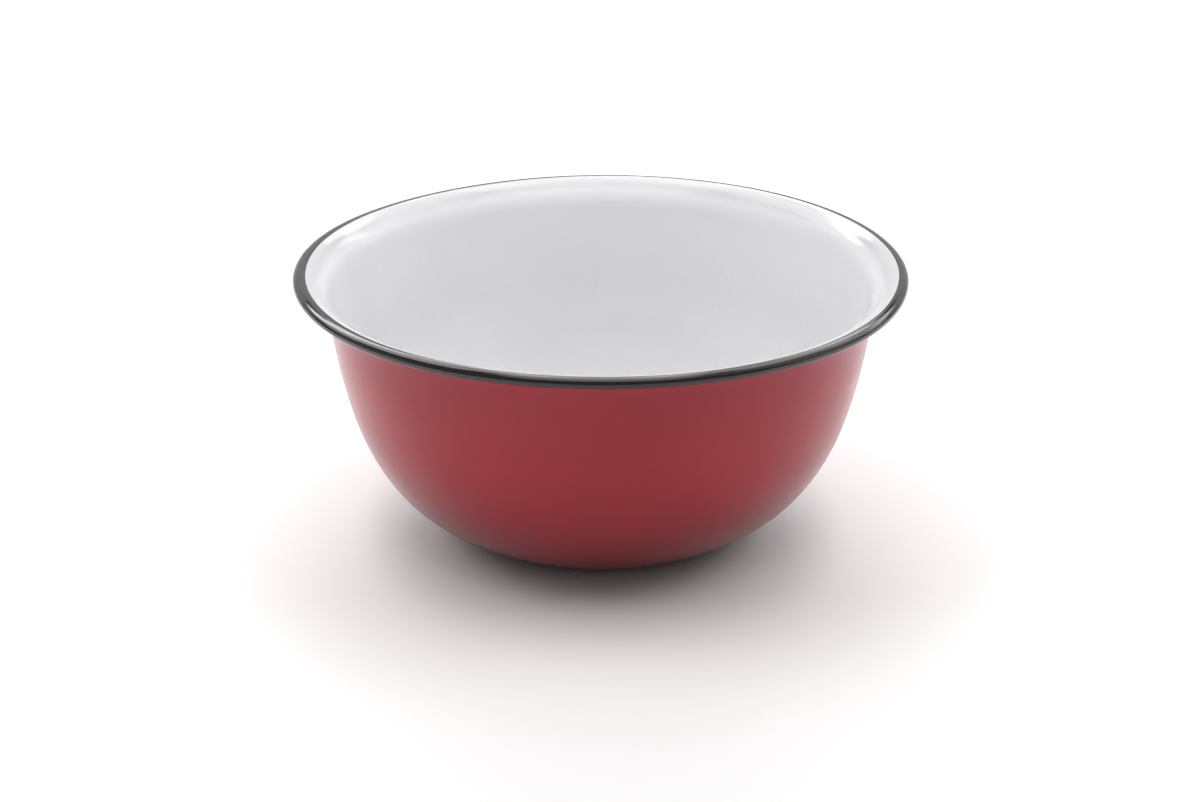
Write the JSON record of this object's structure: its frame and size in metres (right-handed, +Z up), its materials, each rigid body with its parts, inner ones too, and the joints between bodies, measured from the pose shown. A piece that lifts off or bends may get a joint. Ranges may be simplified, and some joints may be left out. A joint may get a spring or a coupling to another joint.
{
  "type": "enamelled steel bowl",
  "caption": "Round deep bowl of pressed steel, enamelled red outside and white inside, with a flared flange and a rolled black rim, for serving or mixing food.",
  "frame": {"origin": "centre of the base, on the plane that the bowl stands on", "axes": "+Z up along the bowl's axis of revolution, towards the mouth; X and Y are any two directions across it"},
  "size_m": [0.16, 0.16, 0.0725],
  "materials": {
    "sheet_steel": "bare deep-drawn sheet, hidden under the enamel",
    "ground_enamel": "dark fired ground coat, hidden under the cover coats",
    "white_enamel": "glossy white vitreous enamel",
    "red_enamel": "glossy deep red vitreous enamel",
    "black_enamel": "glossy black vitreous enamel"
  },
  "bodies": {
    "root": {"steel_shell": "sheet_steel", "ground_coat_inside": "ground_enamel", "ground_coat_outside": "ground_enamel", "white_lining": "white_enamel", "red_outer_coat": "red_enamel", "black_rim_coat": "black_enamel"}
  },
  "joints": []
}
